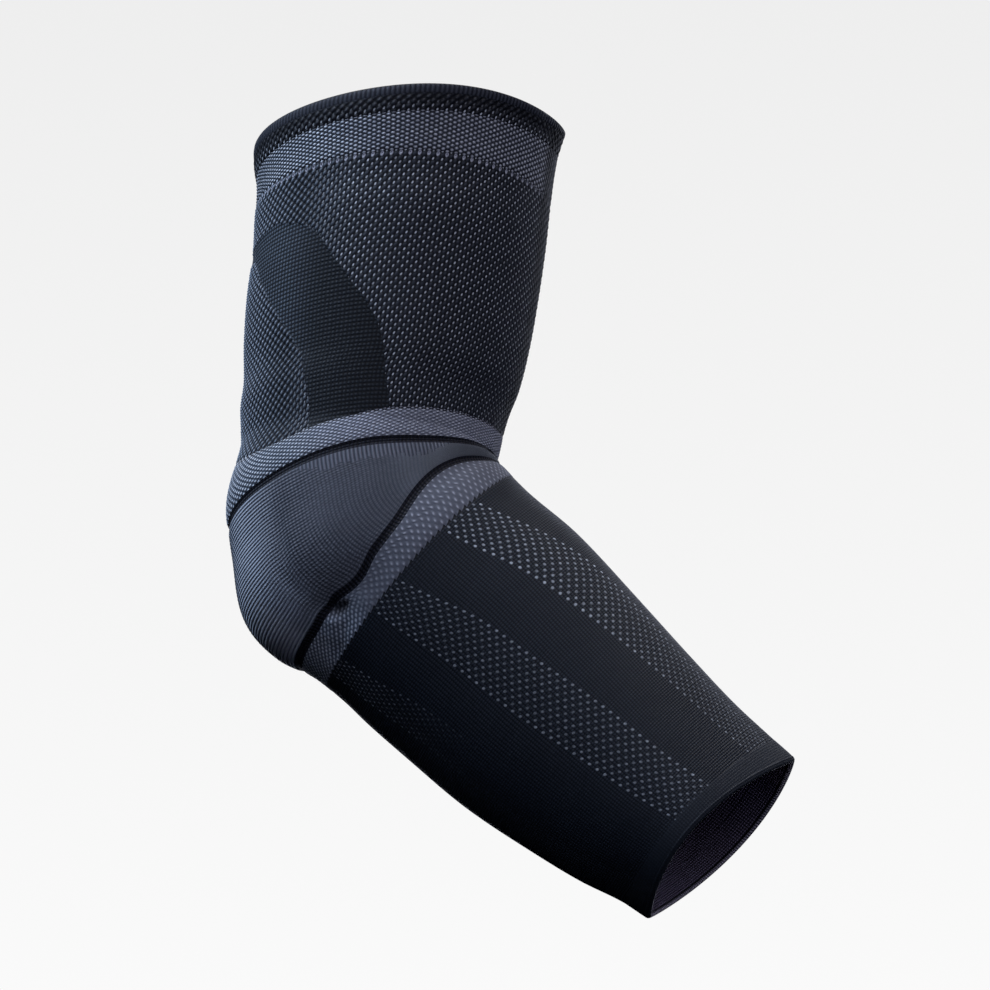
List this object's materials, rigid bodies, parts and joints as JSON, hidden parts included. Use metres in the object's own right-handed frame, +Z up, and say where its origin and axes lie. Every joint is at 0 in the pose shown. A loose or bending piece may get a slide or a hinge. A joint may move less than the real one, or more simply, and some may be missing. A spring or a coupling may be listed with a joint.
{
  "type": "elbow sleeve",
  "caption": "Knitted elbow support sleeve in a bent, worn shape, hollow and open at both ends, with a ribbed elbow cap, grey bands, dark seam lines and dotted stripes down the forearm.",
  "frame": {"origin": "middle of the hollow at the elbow, where the elbow joint of the arm sits", "axes": "the arm bends in the XZ plane: +Z up along the upper arm, +X to the side that the forearm runs to, +Y from one side of the elbow to the other"},
  "size_m": [0.1707, 0.0986, 0.2511],
  "materials": {
    "hem_rib": "fine ribbed edge, matt",
    "dark_coarse_knit": "coarse knit, matt, with light grey dots",
    "grey_coarse_knit": "coarse grey knit, slight sheen",
    "grey_ribbed_knit": "fine ribbed grey knit, slight sheen",
    "black_seam_knit": "plain black knit, matt",
    "dark_fine_knit": "fine plain knit, matt",
    "dotted_stripe_knit": "fine knit with rows of light grey dots, matt",
    "plain_cuff_knit": "plain smooth knit, matt",
    "rim_knit": "fuzzy knitted edge, matt"
  },
  "bodies": {
    "root": {"upper_hem": "hem_rib", "upper_cuff": "dark_coarse_knit", "upper_stripe": "grey_coarse_knit", "upper_arm_sleeve": "dark_coarse_knit", "upper_elbow_band": "grey_coarse_knit", "upper_seam": "black_seam_knit", "elbow_cap": "grey_ribbed_knit", "lower_seam": "black_seam_knit", "lower_elbow_band": "grey_coarse_knit", "forearm_front_panel": "dark_fine_knit", "forearm_front_stripe_left": "dotted_stripe_knit", "forearm_front_stripe_right": "dotted_stripe_knit", "forearm_side_panel_left": "dark_fine_knit", "forearm_side_panel_right": "dark_fine_knit", "forearm_side_stripe_left": "dotted_stripe_knit", "forearm_side_stripe_right": "dotted_stripe_knit", "forearm_rear_panel_left": "dark_fine_knit", "forearm_rear_panel_right": "dark_fine_knit", "forearm_rear_stripe_left": "dotted_stripe_knit", "forearm_rear_stripe_right": "dotted_stripe_knit", "forearm_back_panel": "dark_fine_knit", "wrist_cuff": "plain_cuff_knit", "wrist_hem": "rim_knit"}
  },
  "joints": []
}
